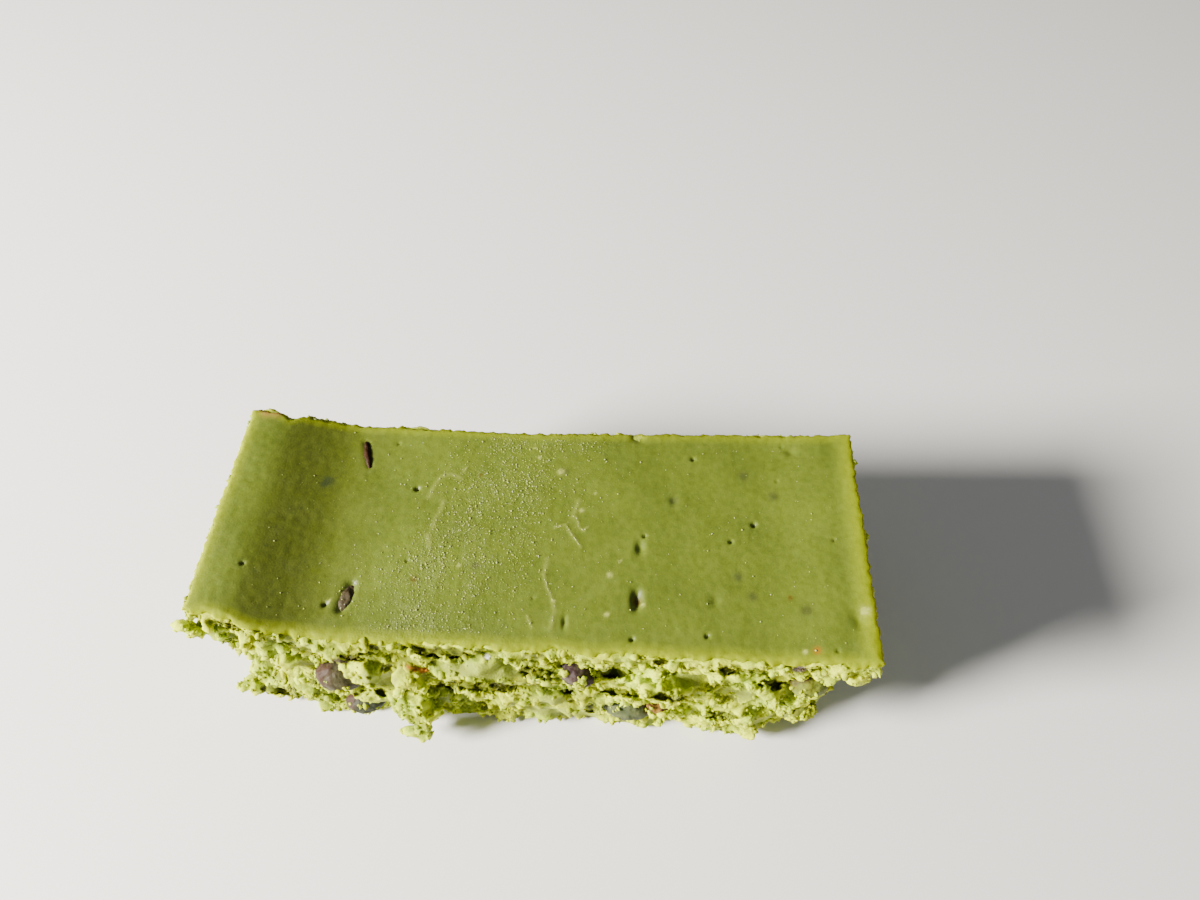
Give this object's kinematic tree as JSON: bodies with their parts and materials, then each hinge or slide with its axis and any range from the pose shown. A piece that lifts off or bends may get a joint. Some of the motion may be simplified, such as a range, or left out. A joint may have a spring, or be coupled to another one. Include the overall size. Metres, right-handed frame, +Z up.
{
  "type": "cheesecake bar",
  "caption": "Long cut bar of baked green tea cheesecake: smooth skinned top that curls up at one end, torn crumbly sides, small red beans set in the crumb.",
  "frame": {"origin": "middle of the flat base, as the whole outline gives it, on the surface that the bar stands on", "axes": "+X along the bar, from the end whose top curls up high; -Y towards the long side with the torn crumb and the hanging clumps; +Z up"},
  "size_m": [0.0842, 0.0384, 0.0297],
  "materials": {
    "crumb": "moist, slightly translucent green crumb under a satin skin",
    "bean": "moist dark bean, smooth",
    "bean_inside": "moist pale green bean, cut open",
    "bean_skin": "thin wet red-brown skin"
  },
  "bodies": {
    "root": {"cheesecake": "crumb", "bean_1": "bean", "bean_2": "bean", "bean_3": "bean_skin", "bean_4": "bean", "bean_5": "bean_inside", "bean_6": "bean_inside", "skin_4": "bean_skin", "top_husk": "bean_skin", "top_bean": "bean", "back_bean_1": "bean", "back_bean_2": "bean", "back_bean_3": "bean", "back_bean_4": "bean", "back_bean_5": "bean", "left_bean_1": "bean", "left_bean_2": "bean", "right_bean_1": "bean", "right_bean_2": "bean"}
  },
  "joints": []
}
